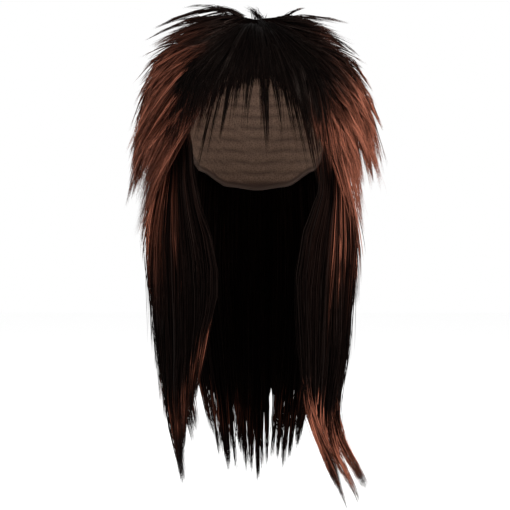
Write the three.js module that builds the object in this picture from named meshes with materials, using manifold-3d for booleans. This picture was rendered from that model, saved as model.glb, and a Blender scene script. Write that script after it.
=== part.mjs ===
// Long shag wig: a thin open cap that carries layered hair,
// cut short and spiky at the crown and left long below.
// Millimetres, +Z up. The face looks along -Y and +X is the viewer's right.
// The origin is inside the top of the cap, where the crown of the head bears.

import * as THREE from "three";
import { mergeVertices } from "three/addons/utils/BufferGeometryUtils.js";
import Module from "manifold-3d";

const wasm = await Module();
wasm.setup();

// Head that the cap fits: an ellipsoid whose top is the origin
const HEAD_HALF_BREADTH = 76;
const HEAD_HALF_LENGTH = 96;
const CROWN_TO_WIDEST = 105;

// Cap wall, and the clearance that keeps neighbouring pieces apart
const CAP_WALL = 1.6;
const GAP = 0.4;
const CAP_COLUMNS = 28;
const CAP_ROWS = 6;
const CROWN_COLUMNS = 18;
const CROWN_ROWS = 4;

// Edge of the cap: the angle down from the crown at each azimuth from the middle of the forehead
const CAP_RIM = [
  { azimuth: 0, angle: 58 },
  { azimuth: 35, angle: 64 },
  { azimuth: 58, angle: 88 },
  { azimuth: 70, angle: 96 },
  { azimuth: 88, angle: 88 },
  { azimuth: 105, angle: 90 },
  { azimuth: 128, angle: 110 },
  { azimuth: 155, angle: 119 },
  { azimuth: 180, angle: 121 },
];

// Weft: the sewn band that the long locks and the fringe grow from, floated clear of the cap's facets
const WEFT_CLEARANCE = 0.9;
const WEFT_THICKNESS = 2;
const WEFT_FLOOR = CAP_WALL + WEFT_CLEARANCE;
const ROOT_HEIGHT = WEFT_FLOOR + WEFT_THICKNESS;

// Bed: the dense hair under the layered tiers, by its height over the head at the front, right, back and left
const BED = [
  { angle: 0, height: [8, 8, 8, 8] },
  { angle: 20, height: [8, 14, 13, 14] },
  { angle: 40, height: [6, 14, 13, 14] },
  { angle: 44, height: [5, 7, 7, 7] },
  { angle: 60, height: [5, 11, 10, 11] },
  { angle: 78, height: [5, 11, 10, 11] },
];
const BAND_STEP_DEGREES = 11;

// Lock: a lens-shaped section swept along a curve, widest at SWELL_AT of its length and pointed at the tip
const SWELL_AT = 0.42;
const ROOT_SHARE = 0.6;
const TIP_SHARE = 0.05;
const TAPER_POWER = 1.7;
const OUTWARD_TILT = 0.6;

// Layered tiers. Each value that changes round the head is given at its front, right, back and left.
// root: angle of the roots down from the crown.
// rise, lift: how far on from its root a lock crests, and its height over the head there.
// reach, height: where the tips are, outside the head's widest outline and above the origin.
// turnIn, turnUp: how far inside and above its tip a lock starts to turn down.
// thick: half the thickness of a lock where it is fullest.
const CROWN_TIERS = [
  {
    locks: 9, root: 7, rise: 14, lift: [12, 26, 14, 28], thick: 4,
    reach: [-20, -10, -10, -4], height: [-14, 18, 4, 19], turnIn: 26, turnUp: 7,
  },
  {
    locks: 11, root: 14, rise: 22, lift: [16, 34, 28, 38], thick: 4.5,
    reach: [-6, 18, 20, 31], height: [-36, -10, -12, -7], turnIn: 26, turnUp: 16,
  },
  {
    locks: 12, root: 23, rise: 24, lift: [18, 33, 31, 35], thick: 4.5,
    reach: [2, 33, 31, 40], height: [-50, -46, -50, -44], turnIn: 20, turnUp: 24,
  },
  {
    locks: 13, root: 33, rise: 25, lift: [16, 31, 30, 32], thick: 4.5,
    reach: [4, 41, 38, 44], height: [-58, -76, -85, -80], turnIn: 16, turnUp: 30,
  },
];
const SHAG_TIERS = [
  {
    locks: 5, root: 46, rise: 24, lift: [18, 25, 25, 25], thick: 4.5,
    reach: [12, 47, 42, 47], height: [-96, -108, -121, -115], turnIn: 14, turnUp: 36,
  },
  {
    locks: 5, root: 57, rise: 22, lift: [18, 22, 22, 22], thick: 4.5,
    reach: [12, 43, 42, 50], height: [-126, -142, -165, -156], turnIn: 12, turnUp: 40,
  },
  {
    locks: 4, root: 68, rise: 16, lift: [17, 21, 21, 21], thick: 4.5,
    reach: [12, 27, 32, 39], height: [-160, -226, -245, -240], turnIn: 0, turnUp: 60,
  },
];

// A tier starts this far along its locks, whose roots lie this far up in the bed.
// Between two locks the hair ends at a share of their length and is a share as thick.
const TIER_STEPS = 3;
const TIER_START = 0.1;
const ROOT_IN_BED = 0.7;
const NOTCH_LENGTH = 0.66;
const NOTCH_THICKNESS = 0.5;

// How much the tips of a tier stray: a share of their reach, their height and their azimuth in degrees
const REACH_STRAY = 0.12;
const HEIGHT_STRAY = 14;
const AZIMUTH_STRAY = 8;

// Long locks, one row each: azimuth of the root, the place across and back where the lock passes the jaw,
// the chest and the waist, and the tip's place across, back and up from the origin.
// The jaw, chest and waist are shares of the drop from the root to the tip.
const JAW_AT = 0.3;
const CHEST_AT = 0.62;
const WAIST_AT = 0.82;
const LENGTH_RIGHT = [
  { azimuth: 62, jaw: [47, -52], chest: [47, -48], waist: [52, -44], tip: [76, -40, -440] },
  { azimuth: 77, jaw: [66, -38], chest: [61, -38], waist: [60, -38], tip: [86, -34, -468] },
  { azimuth: 92, jaw: [87, -16], chest: [79, -20], waist: [70, -26], tip: [99, -24, -466] },
  { azimuth: 106, jaw: [94, 8], chest: [88, 0], waist: [78, -10], tip: [109, -14, -456] },
  { azimuth: 120, jaw: [84, 42], chest: [76, 36], waist: [68, 30], tip: [72, 24, -420] },
];
const LENGTH_LEFT = [
  { azimuth: -62, jaw: [-53, -48], chest: [-50, -38], waist: [-58, -28], tip: [-64, -20, -372] },
  { azimuth: -77, jaw: [-74, -32], chest: [-73, -22], waist: [-77, -12], tip: [-77, -4, -432] },
  { azimuth: -92, jaw: [-99, -6], chest: [-93, 2], waist: [-86, 8], tip: [-73, 10, -456] },
  { azimuth: -106, jaw: [-106, 16], chest: [-98, 20], waist: [-92, 22], tip: [-84, 22, -410] },
  { azimuth: -120, jaw: [-86, 46], chest: [-76, 46], waist: [-68, 46], tip: [-60, 46, -412] },
];
const LENGTH_BACK = [
  { azimuth: 134, jaw: [64, 68], chest: [55, 64], waist: [48, 62], tip: [41, 60, -418] },
  { azimuth: 150, jaw: [45, 86], chest: [38, 81], waist: [33, 77], tip: [28, 74, -440] },
  { azimuth: 165, jaw: [23, 97], chest: [20, 91], waist: [17, 86], tip: [14, 82, -430] },
  { azimuth: 180, jaw: [0, 101], chest: [0, 94], waist: [0, 89], tip: [0, 84, -452] },
  { azimuth: 195, jaw: [-23, 97], chest: [-20, 91], waist: [-17, 86], tip: [-14, 82, -434] },
  { azimuth: 210, jaw: [-45, 86], chest: [-38, 81], waist: [-33, 77], tip: [-28, 74, -444] },
  { azimuth: 226, jaw: [-64, 68], chest: [-55, 64], waist: [-48, 62], tip: [-41, 60, -424] },
];

// Each curtain of long locks is one sheet: half its thickness, how far it goes on past its first and last
// lock as a share of the space between two, and the share of the length where the notches end
const LENGTH_THICK = 7;
const LENGTH_OVERHANG = 0.4;
const LENGTH_NOTCH = 0.76;
const LENGTH_STEPS = 6;
const SPLINE_TENSION = 0.5;

// Thin locks of the fringe, with the tip's azimuth and height on the forehead.
// Each is rooted and crests at an angle down from the crown, and ends in a straight stretch.
const FRINGE_LOCKS = [
  { azimuth: -36, tip: -46, height: -150, wide: 9, thick: 4 },
  { azimuth: -29, tip: -36, height: -128, wide: 7, thick: 3.5 },
  { azimuth: -20, tip: -26, height: -113, wide: 6, thick: 3 },
  { azimuth: -13, tip: -17, height: -98, wide: 5, thick: 3 },
  { azimuth: -5, tip: -8, height: -94, wide: 5, thick: 3 },
  { azimuth: 4, tip: 7, height: -123, wide: 5, thick: 3 },
  { azimuth: 12, tip: 17, height: -111, wide: 6, thick: 3 },
  { azimuth: 22, tip: 27, height: -120, wide: 6, thick: 3 },
  { azimuth: 30, tip: 36, height: -138, wide: 7, thick: 3.5 },
  { azimuth: 36, tip: 46, height: -158, wide: 9, thick: 4 },
];
const FRINGE_ROOT = 46;
const FRINGE_CREST = 62;
const FRINGE_LIFT = 15;
const FRINGE_REACH = 9;
const FRINGE_STRAIGHT = 40;

// Colours by part: a brown net cap and black-brown to auburn hair
const CAP_COLOUR = 0x73594a;
const CROWN_COLOUR = 0x22120d;
const SHAG_COLOUR = 0x351a12;
const LENGTH_COLOUR = 0x26140e;
const CAP_ROUGHNESS = 0.9;
const HAIR_ROUGHNESS = 0.5;

const radians = THREE.MathUtils.degToRad;
const UP = new THREE.Vector3(0, 0, 1);

// Evenly scattered number from -0.5 to 0.5 for the i-th lock, so that no two locks are alike
const GOLDEN_STEPS = [0.618034, 0.754878, 0.569841];
function scatter(i, kind) {
  const step = GOLDEN_STEPS[kind];
  return ((i + 1) * step) % 1 - 0.5;
}

// Point at an azimuth and an angle down from the crown, offset outwards from the head
function headPoint(azimuth, angle, offset) {
  const across = Math.sin(radians(angle)) * Math.sin(radians(azimuth));
  const back = -Math.sin(radians(angle)) * Math.cos(radians(azimuth));
  const height = Math.cos(radians(angle));
  const normal = new THREE.Vector3(
    across / HEAD_HALF_BREADTH, back / HEAD_HALF_LENGTH, height / CROWN_TO_WIDEST,
  ).normalize();
  return new THREE.Vector3(
    across * HEAD_HALF_BREADTH, back * HEAD_HALF_LENGTH, (height - 1) * CROWN_TO_WIDEST,
  ).addScaledVector(normal, offset);
}

// Point at an azimuth and a height, a distance outside the head's widest outline
function outlinePoint(azimuth, reach, height) {
  return new THREE.Vector3(
    Math.sin(radians(azimuth)) * (HEAD_HALF_BREADTH + reach),
    -Math.cos(radians(azimuth)) * (HEAD_HALF_LENGTH + reach),
    height,
  );
}

// Value at an azimuth, from its values at the front, right, back and left of the head
function roundHead([front, right, back, left], azimuth) {
  const facing = Math.cos(radians(azimuth));
  const end = facing > 0 ? front : back;
  const side = Math.sin(radians(azimuth)) > 0 ? right : left;
  return end * facing ** 2 + side * (1 - facing ** 2);
}

// Angle of the cap's edge at an azimuth, eased between the rows of CAP_RIM
function rimAngle(azimuth) {
  const turned = Math.abs(((azimuth + 540) % 360) - 180);
  const next = Math.max(1, CAP_RIM.findIndex((row) => row.azimuth >= turned));
  const [low, high] = [CAP_RIM[next - 1], CAP_RIM[next]];
  const share = THREE.MathUtils.smoothstep(turned, low.azimuth, high.azimuth);
  return THREE.MathUtils.lerp(low.angle, high.angle, share);
}

// Closed body through a row of rings with equal numbers of points, each end closed by a fan
function loftRings(rings) {
  const sides = rings[0].length;
  const points = rings.flat();
  const index = [];
  const corner = (ring, side) => ring * sides + (side % sides);
  for (let ring = 0; ring + 1 < rings.length; ring++) {
    for (let side = 0; side < sides; side++) {
      const [a, b] = [corner(ring, side), corner(ring, side + 1)];
      const [c, d] = [corner(ring + 1, side + 1), corner(ring + 1, side)];
      index.push(a, b, c, a, c, d);
    }
  }
  const last = rings.length - 1;
  for (let side = 1; side + 1 < sides; side++) {
    index.push(corner(0, 0), corner(0, side + 1), corner(0, side));
    index.push(corner(last, 0), corner(last, side), corner(last, side + 1));
  }
  const geometry = new THREE.BufferGeometry().setFromPoints(points);
  geometry.setIndex(index);
  return geometry;
}

// Closed body through a row of strips, each with an inner and an outer edge; a closed row meets itself
function loftStrips(strips, closed) {
  const steps = strips[0].inner.length;
  const points = strips.flatMap(({ inner, outer }) => [...inner, ...outer]);
  const index = [];
  const quad = (a, b, c, d) => index.push(a, b, c, a, c, d);
  const inner = (strip, step) => (strip % strips.length) * 2 * steps + step;
  const outer = (strip, step) => inner(strip, step) + steps;
  const spans = closed ? strips.length : strips.length - 1;
  for (let i = 0; i < spans; i++) {
    const j = i + 1;
    for (let k = 0; k + 1 < steps; k++) {
      quad(outer(i, k), outer(j, k), outer(j, k + 1), outer(i, k + 1));
      quad(inner(j, k), inner(i, k), inner(i, k + 1), inner(j, k + 1));
    }
    quad(inner(i, 0), inner(j, 0), outer(j, 0), outer(i, 0));
    quad(outer(i, steps - 1), outer(j, steps - 1), inner(j, steps - 1), inner(i, steps - 1));
  }
  if (!closed) {
    const last = strips.length - 1;
    for (let k = 0; k + 1 < steps; k++) {
      quad(inner(0, k), outer(0, k), outer(0, k + 1), inner(0, k + 1));
      quad(outer(last, k), inner(last, k), inner(last, k + 1), outer(last, k + 1));
    }
  }
  const geometry = new THREE.BufferGeometry().setFromPoints(points);
  geometry.setIndex(index);
  return geometry;
}

// Solid of a closed geometry, turned right way out
function solidOf(geometry) {
  const merged = mergeVertices(geometry, 1e-4);
  const triVerts = new Uint32Array(merged.index.array);
  const vertProperties = merged.attributes.position.array;
  const solid = new wasm.Manifold(new wasm.Mesh({ numProp: 3, vertProperties, triVerts }));
  if (solid.volume() > 0) return solid;
  for (let i = 0; i < triVerts.length; i += 3) {
    [triVerts[i + 1], triVerts[i + 2]] = [triVerts[i + 2], triVerts[i + 1]];
  }
  return new wasm.Manifold(new wasm.Mesh({ numProp: 3, vertProperties, triVerts }));
}

// Dome-shaped shell over the head, from the crown to an edge; edge and heights may change round the head
const DOME_TOP_ROW = 0.12;
function dome({ edge, inner, outer, columns, rows }) {
  const ringAt = (row, height) =>
    Array.from({ length: columns }, (_, column) => {
      const azimuth = (column * 360) / columns;
      const angle = (edge(azimuth) * Math.max(row, DOME_TOP_ROW)) / rows;
      return headPoint(azimuth, angle, height(azimuth, angle));
    });
  const rings = [];
  for (let row = 0; row <= rows; row++) rings.push(ringAt(row, inner));
  for (let row = rows; row >= 0; row--) rings.push(ringAt(row, outer));
  return solidOf(loftRings(rings));
}

// Height of the bed over the head
function bedHeight(azimuth, angle) {
  const next = Math.max(1, BED.findIndex((row) => row.angle >= angle));
  const [low, high] = [BED[next - 1], BED[next]];
  const share = (angle - low.angle) / (high.angle - low.angle);
  return THREE.MathUtils.lerp(roundHead(low.height, azimuth), roundHead(high.height, azimuth), share);
}

// Curved band on the head between two azimuths and two angles, up to a height
function band({ from, to, top, bottom, height = () => ROOT_HEIGHT }, grow = 0) {
  const steps = Math.ceil((to - from) / BAND_STEP_DEGREES);
  const rows = Math.ceil((bottom - top) / BAND_STEP_DEGREES);
  const strips = Array.from({ length: steps + 1 }, (_, step) => {
    const azimuth = THREE.MathUtils.lerp(from - grow, to + grow, step / steps);
    const angles = Array.from({ length: rows + 1 }, (_, row) =>
      THREE.MathUtils.lerp(top - grow, bottom + grow, row / rows),
    );
    return {
      inner: angles.map((angle) => headPoint(azimuth, angle, WEFT_FLOOR - grow)),
      outer: angles.map((angle) => headPoint(azimuth, angle, height(azimuth, angle) + grow)),
    };
  });
  return solidOf(loftStrips(strips, false));
}

// Share of a lock's full section at a share of its length
function lockSwell(along) {
  if (along < SWELL_AT) {
    return THREE.MathUtils.lerp(ROOT_SHARE, 1, Math.sin((Math.PI / 2) * (along / SWELL_AT)));
  }
  const past = (along - SWELL_AT) / (1 - SWELL_AT);
  return THREE.MathUtils.lerp(1, TIP_SHARE, past ** TAPER_POWER);
}

// Direction across a lock, away from the head, at a point where the lock runs along a tangent
function outwardFrom(point, tangent) {
  const away = new THREE.Vector3(point.x, point.y, 0).normalize().addScaledVector(UP, OUTWARD_TILT);
  const side = new THREE.Vector3().crossVectors(tangent, away).normalize();
  return new THREE.Vector3().crossVectors(side, tangent);
}

// One lock along a curve, flat against the head below it
function lock(curve, wide, thick, steps, sides, grow = 0) {
  const rings = Array.from({ length: steps + 1 }, (_, step) => {
    const along = step / steps;
    const centre = curve.getPoint(along);
    const tangent = curve.getTangent(along);
    if (step === 0) centre.addScaledVector(tangent, -grow);
    if (step === steps) centre.addScaledVector(tangent, grow);
    const normal = outwardFrom(centre, tangent);
    const side = new THREE.Vector3().crossVectors(tangent, normal);
    const swell = lockSwell(along);
    return Array.from({ length: sides }, (_, k) => {
      const turn = (2 * Math.PI * k) / sides;
      return centre.clone()
        .addScaledVector(side, (wide * swell + grow) * Math.cos(turn))
        .addScaledVector(normal, (thick * swell + grow) * Math.sin(turn));
    });
  });
  return solidOf(loftRings(rings));
}

// Curve of the hair in a layered tier: up from its root, over the crest and out to its tip
function tierCurve(tier, azimuth, i) {
  const reach = roundHead(tier.reach, azimuth) * (1 + REACH_STRAY * scatter(i, 0));
  const height = roundHead(tier.height, azimuth) + HEIGHT_STRAY * scatter(i, 1);
  const tipAzimuth = azimuth + AZIMUTH_STRAY * scatter(i, 2);
  return new THREE.CubicBezierCurve3(
    headPoint(azimuth, tier.root, ROOT_IN_BED * bedHeight(azimuth, tier.root)),
    headPoint(azimuth, tier.root + tier.rise, roundHead(tier.lift, azimuth)),
    outlinePoint(tipAzimuth, reach - tier.turnIn, height + tier.turnUp),
    outlinePoint(tipAzimuth, reach, height),
  );
}

// Inner and outer edge of a sheet of hair along one curve, between two shares of that curve's length
function hairStrip(curve, { from, to, thick, steps }, grow) {
  const strip = { inner: [], outer: [] };
  for (let step = 0; step <= steps; step++) {
    const along = THREE.MathUtils.lerp(from, to, step / steps);
    const centre = curve.getPoint(along);
    const tangent = curve.getTangent(along);
    if (step === 0) centre.addScaledVector(tangent, -grow);
    if (step === steps) centre.addScaledVector(tangent, 2 * grow);
    const normal = outwardFrom(centre, tangent);
    const half = thick * lockSwell(step / steps) + grow;
    strip.inner.push(centre.clone().addScaledVector(normal, -half));
    strip.outer.push(centre.clone().addScaledVector(normal, half));
  }
  return strip;
}

// One tier between two azimuths: pointed locks side by side, with a notch between each two
function tier(row, from, to, grow) {
  const closed = to - from === 360;
  const spacing = (to - from) / row.locks;
  const whole = { from: TIER_START, to: 1, thick: row.thick, steps: TIER_STEPS };
  const notch = { ...whole, to: NOTCH_LENGTH, thick: NOTCH_THICKNESS * row.thick };
  const strips = [];
  for (let i = 0; i < row.locks; i++) {
    const edge = closed || i > 0 ? 0 : grow;
    strips.push(hairStrip(tierCurve(row, from + spacing * i - edge, i + 0.5), notch, grow));
    strips.push(hairStrip(tierCurve(row, from + spacing * (i + 0.5), i), whole, grow));
  }
  if (!closed) strips.push(hairStrip(tierCurve(row, to + grow, row.locks + 0.5), notch, grow));
  return solidOf(loftStrips(strips, closed));
}

// Points that a long lock runs through: its root in the weft, the jaw, the chest, the waist and its tip
function longPoints(row, rootAngle) {
  const root = headPoint(row.azimuth, rootAngle, ROOT_HEIGHT);
  const tip = new THREE.Vector3(...row.tip);
  const passing = ([across, back], share) =>
    new THREE.Vector3(across, back, THREE.MathUtils.lerp(root.z, tip.z, share));
  return [
    root, passing(row.jaw, JAW_AT), passing(row.chest, CHEST_AT), passing(row.waist, WAIST_AT), tip,
  ];
}

// Curtain of long hair: one sheet from its weft, with its end cut into pointed locks by notches
function curtain(rows, rootAngle, grow) {
  const points = rows.map((row) => longPoints(row, rootAngle));
  const curveAt = (place) => {
    const first = THREE.MathUtils.clamp(Math.floor(place), 0, rows.length - 2);
    const between = points[first].map((point, k) => point.clone().lerp(points[first + 1][k], place - first));
    return new THREE.CatmullRomCurve3(between, false, "catmullrom", SPLINE_TENSION);
  };
  const whole = { from: 0, to: 1, thick: LENGTH_THICK, steps: LENGTH_STEPS };
  const notch = { ...whole, to: LENGTH_NOTCH, thick: NOTCH_THICKNESS * LENGTH_THICK };
  const strips = [hairStrip(curveAt(-LENGTH_OVERHANG), notch, grow)];
  for (let i = 0; i < rows.length; i++) {
    const next = i + 1 < rows.length ? i + 0.5 : i + LENGTH_OVERHANG;
    strips.push(hairStrip(curveAt(i), whole, grow), hairStrip(curveAt(next), notch, grow));
  }
  return solidOf(loftStrips(strips, false));
}

// Thin lock that lies down the forehead
const FRINGE_STEPS = 4;
const FRINGE_SIDES = 4;
function fringeLock(row, grow) {
  const curve = new THREE.CubicBezierCurve3(
    headPoint(row.azimuth, FRINGE_ROOT, ROOT_HEIGHT),
    headPoint(row.azimuth, FRINGE_CREST, FRINGE_LIFT),
    outlinePoint(row.tip, FRINGE_REACH, row.height + FRINGE_STRAIGHT),
    outlinePoint(row.tip, FRINGE_REACH, row.height),
  );
  return lock(curve, row.wide, row.thick, FRINGE_STEPS, FRINGE_SIDES, grow);
}

// Each hair piece: its colour, and a function for its solids, grown by a clearance when others are cut by it
const CROWN_EDGE = 40;
const SHAG_TOP = 44;
const SHAG_EDGE = 76;
const shagSolids = (from, to) => (grow) => [
  band({ from, to, top: SHAG_TOP, bottom: SHAG_EDGE, height: bedHeight }, grow),
  ...SHAG_TIERS.map((row) => tier(row, from, to, grow)),
];
const lengthSolids = (rows, weft) => (grow) => [
  band(weft, grow),
  curtain(rows, (weft.top + weft.bottom) / 2, grow),
];
const HAIR_PIECES = [
  {
    name: "length_back",
    colour: LENGTH_COLOUR,
    solids: lengthSolids(LENGTH_BACK, { from: 131, to: 229, top: 97, bottom: 108 }),
  },
  {
    name: "length_left",
    colour: LENGTH_COLOUR,
    solids: lengthSolids(LENGTH_LEFT, { from: -124, to: -59, top: 79, bottom: 88 }),
  },
  {
    name: "length_right",
    colour: LENGTH_COLOUR,
    solids: lengthSolids(LENGTH_RIGHT, { from: 59, to: 124, top: 79, bottom: 88 }),
  },
  { name: "shag_back", colour: SHAG_COLOUR, solids: shagSolids(130, 230) },
  { name: "shag_left", colour: SHAG_COLOUR, solids: shagSolids(-130, -40) },
  { name: "shag_right", colour: SHAG_COLOUR, solids: shagSolids(40, 130) },
  {
    name: "crown_layer",
    colour: CROWN_COLOUR,
    solids: (grow) => [
      dome({
        edge: () => CROWN_EDGE + grow,
        inner: () => WEFT_FLOOR - grow,
        outer: (azimuth, angle) => bedHeight(azimuth, angle) + grow,
        columns: CROWN_COLUMNS,
        rows: CROWN_ROWS,
      }),
      ...CROWN_TIERS.map((row) => tier(row, -180, 180, grow)),
    ],
  },
  {
    name: "fringe",
    colour: CROWN_COLOUR,
    solids: (grow) => [
      band({ from: -38, to: 38, top: CROWN_EDGE + 1, bottom: 54 }, grow),
      ...FRINGE_LOCKS.map((row) => fringeLock(row, grow)),
    ],
  },
];

// Named mesh of a solid
function meshOf(name, solid, colour, roughness) {
  const { vertProperties, triVerts } = solid.getMesh();
  const geometry = new THREE.BufferGeometry()
    .setAttribute("position", new THREE.BufferAttribute(vertProperties, 3))
    .setIndex(new THREE.BufferAttribute(triVerts, 1));
  geometry.computeVertexNormals();
  const material = new THREE.MeshStandardMaterial({ color: colour, roughness, metalness: 0 });
  const mesh = new THREE.Mesh(geometry, material);
  mesh.name = name;
  return mesh;
}

// Largest body of a solid: cuts can leave crumbs beside it
function mainBody(solid) {
  return solid.decompose().reduce((best, body) => (body.volume() > best.volume() ? body : best));
}

// The pieces from the inside out, each cut clear of those already in place
const wig = new THREE.Group();
const capSolid = (grow) =>
  dome({
    edge: (azimuth) => rimAngle(azimuth) + grow,
    inner: () => -grow,
    outer: () => CAP_WALL + grow,
    columns: CAP_COLUMNS,
    rows: CAP_ROWS,
  });
wig.add(meshOf("cap", capSolid(0), CAP_COLOUR, CAP_ROUGHNESS));
const inPlace = [capSolid(GAP)];
for (const { name, colour, solids } of HAIR_PIECES) {
  const whole = wasm.Manifold.union(solids(0));
  const clear = mainBody(whole.subtract(wasm.Manifold.union(inPlace)));
  inPlace.push(wasm.Manifold.union(solids(GAP)));
  wig.add(meshOf(name, clear, colour, HAIR_ROUGHNESS));
}

export default wig;
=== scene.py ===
import bpy
import numpy as np
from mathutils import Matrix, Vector


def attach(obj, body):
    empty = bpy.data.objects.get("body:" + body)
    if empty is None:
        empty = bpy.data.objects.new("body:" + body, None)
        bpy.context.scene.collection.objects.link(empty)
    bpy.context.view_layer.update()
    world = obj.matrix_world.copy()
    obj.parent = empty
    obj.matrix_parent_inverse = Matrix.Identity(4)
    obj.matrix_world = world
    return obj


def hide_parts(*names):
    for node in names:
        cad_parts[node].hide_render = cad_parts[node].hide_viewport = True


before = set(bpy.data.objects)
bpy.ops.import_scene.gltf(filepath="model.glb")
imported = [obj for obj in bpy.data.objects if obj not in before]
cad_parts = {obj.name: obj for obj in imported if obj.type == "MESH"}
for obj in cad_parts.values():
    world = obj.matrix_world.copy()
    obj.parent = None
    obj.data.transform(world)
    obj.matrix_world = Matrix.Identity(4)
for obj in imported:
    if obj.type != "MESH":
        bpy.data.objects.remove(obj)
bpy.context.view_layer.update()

# Long shag wig: fine strands of hair over the form of the layered solids, on a net cap.
# Sizes are millimetres in the part's own frame until they become meshes. Angles are degrees: azimuths
# run from the front towards the right, and other angles run down the head from its crown.
MM = 0.001
rng = np.random.default_rng(7)

# Head that the cap fits, and the cap's wall
HEAD_HALF = np.array([76, 96, 105])
CAP_WALL = 1.6
WEFT_FLOOR = 2.5
ROOT_HEIGHT = 4.5
CAP_RIM_AZIMUTHS = (0, 35, 58, 70, 88, 105, 128, 155, 180)
CAP_RIM_ANGLES = (58, 64, 88, 96, 88, 90, 110, 119, 121)

# Dense bed under the layers: its height over the head at the front, right, back and left
BED_ANGLES = (0, 10, 20, 40, 44, 60, 78)
BED_HEIGHTS = dict(
    front=(8, 8, 8, 6, 5, 5, 5),
    right=(8, 12, 19, 15, 7, 11, 11),
    back=(8, 11, 15, 14, 7, 10, 10),
    left=(8, 12, 20, 17, 7, 11, 11),
)

# Outer form of the layered hair at the front, right, back and left, by the angle down the head inside it.
# Reach is outside the head's widest outline, and height is above the origin.
HULL_ANGLES = (0, 10, 20, 33, 47, 60, 71, 86, 98, 114, 134)
HULL_REACH = dict(
    front=(-92, -78, -59, -36, -16, -2, 6, 10, 12, 12, 12),
    right=(-70, -60, -45, -24, -2, 14, 28, 38, 42, 42, 38),
    back=(-92, -80, -63, -34, -6, 14, 26, 36, 42, 44, 44),
    left=(-70, -60, -45, -20, 8, 24, 32, 38, 44, 50, 52),
)
HULL_HEIGHT = dict(
    front=(8, 9, 5, -6, -24, -46, -67, -97, -120, -150, -190),
    right=(8, 12, 15, 1, -15, -30, -52, -88, -122, -160, -215),
    back=(8, 12, 14, 8, -6, -30, -60, -98, -130, -172, -230),
    left=(8, 14, 20, 6, -13, -30, -52, -88, -120, -160, -215),
)
HULL_MIDDLE = (0, 0, -95)

# Lower edge of the layered hair: an arch over the face and a blunt edge round the sides and the back
EDGE_LEFT = dict(
    azimuths=(0, 20, 30, 38, 45, 51, 64, 80, 130, 180),
    angles=(68, 75, 85, 93, 98, 102, 109, 119, 119, 116),
)
EDGE_RIGHT = dict(
    azimuths=(0, 20, 28, 33, 37, 45, 64, 80, 130, 180),
    angles=(68, 75, 89, 102, 110, 111, 111, 113, 113, 116),
)

# Azimuths that each shag covers, below the crown
SHAG_LEFT, SHAG_RIGHT, SHAG_BACK = (-130, -40), (40, 130), (130, 230)

# Curtains of long hair: the azimuths and angles of the weft, how warm the tips are, and the long locks, as
# in the solids. Each lock has the azimuth of its root, x and y where it passes the jaw, the chest and the
# waist at these shares of its drop, and its tip.
PASSING_AT = (0.3, 0.62, 0.82)
# The right curtain's tips are warmer than the left's, partly as painted light from the key lamp's side
CURTAIN_RIGHT = dict(azimuths=(59, 124), angles=(79, 88), tip_warmth=2.4, rows=[
    (62, (47, -52), (47, -48), (52, -44), (76, -40, -440)),
    (77, (66, -38), (61, -38), (60, -38), (86, -34, -468)),
    (92, (87, -16), (79, -20), (70, -26), (99, -24, -466)),
    (106, (94, 8), (88, 0), (78, -10), (109, -14, -456)),
    (120, (84, 42), (76, 36), (68, 30), (72, 24, -420)),
])
CURTAIN_LEFT = dict(azimuths=(-124, -59), angles=(79, 88), tip_warmth=0.5, rows=[
    (-62, (-53, -48), (-50, -38), (-58, -28), (-64, -20, -372)),
    (-77, (-74, -32), (-73, -22), (-77, -12), (-77, -4, -432)),
    (-92, (-99, -6), (-93, 2), (-86, 8), (-73, 10, -456)),
    (-106, (-106, 16), (-98, 20), (-92, 22), (-84, 22, -410)),
    (-120, (-86, 46), (-76, 46), (-68, 46), (-60, 46, -412)),
])
CURTAIN_BACK = dict(azimuths=(131, 229), angles=(97, 108), tip_warmth=0.3, rows=[
    (134, (64, 68), (55, 64), (48, 62), (41, 60, -418)),
    (150, (45, 86), (38, 81), (33, 77), (28, 74, -440)),
    (165, (23, 97), (20, 91), (17, 86), (14, 82, -430)),
    (180, (0, 101), (0, 94), (0, 89), (0, 84, -452)),
    (195, (-23, 97), (-20, 91), (-17, 86), (-14, 82, -434)),
    (210, (-45, 86), (-38, 81), (-33, 77), (-28, 74, -444)),
    (226, (-64, 68), (-55, 64), (-48, 62), (-41, 60, -424)),
])

# Thin locks of the fringe, as in the solids
FRINGE_TIPS = np.array([-46, -36, -26, -17, -8, 7, 17, 27, 36, 46])
FRINGE_HEIGHTS = np.array([-150, -128, -113, -98, -94, -123, -111, -120, -138, -158])
FRINGE_ROOT = 46
FRINGE_CREST = 62
FRINGE_LIFT = 15
FRINGE_REACH = 9
FRINGE_STRAIGHT = 40

# Warmth of the darkest strands, and of the beds below them
DARK = 0.03
BED_WARMTH = 0.05


# Small tools

def ease(low, high, value):
    """From 0 at a low value to 1 at a high one, slow at both ends."""
    share = np.clip((value - low) / (high - low), 0, 1)
    return share * share * (3 - 2 * share)


def within(limits, share):
    """Values at a share of the way between two limits."""
    return limits[0] + share * np.ptp(limits)


def unit(vectors):
    return vectors / np.maximum(np.linalg.norm(vectors, axis=-1, keepdims=True), 1e-9)


def draw(limits, shape):
    """Even random values between two limits."""
    return rng.uniform(*limits, shape)


def ragged(count, most, power):
    """Shares of the full length of strands, a few of them shorter by up to the most."""
    return 1 - most * rng.random(count) ** power


def shared_chance(lock_of, locks, shared):
    """A chance for each strand, of which a share is the same for all strands of its lock."""
    return shared * rng.random(locks)[lock_of] + (1 - shared) * rng.random(len(lock_of))


# Places on and round the head

def head_point(azimuth, angle, offset):
    """Points at an azimuth and an angle down from the crown, offset outwards from the head."""
    az, an = np.radians(azimuth), np.radians(angle)
    across, back, up = np.sin(an) * np.sin(az), -np.sin(an) * np.cos(az), np.cos(an)
    direction = np.stack(np.broadcast_arrays(across, back, up), -1)
    normal = unit(direction / HEAD_HALF)
    return direction * HEAD_HALF - [0, 0, HEAD_HALF[2]] + normal * np.asarray(offset)[..., None]


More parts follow.
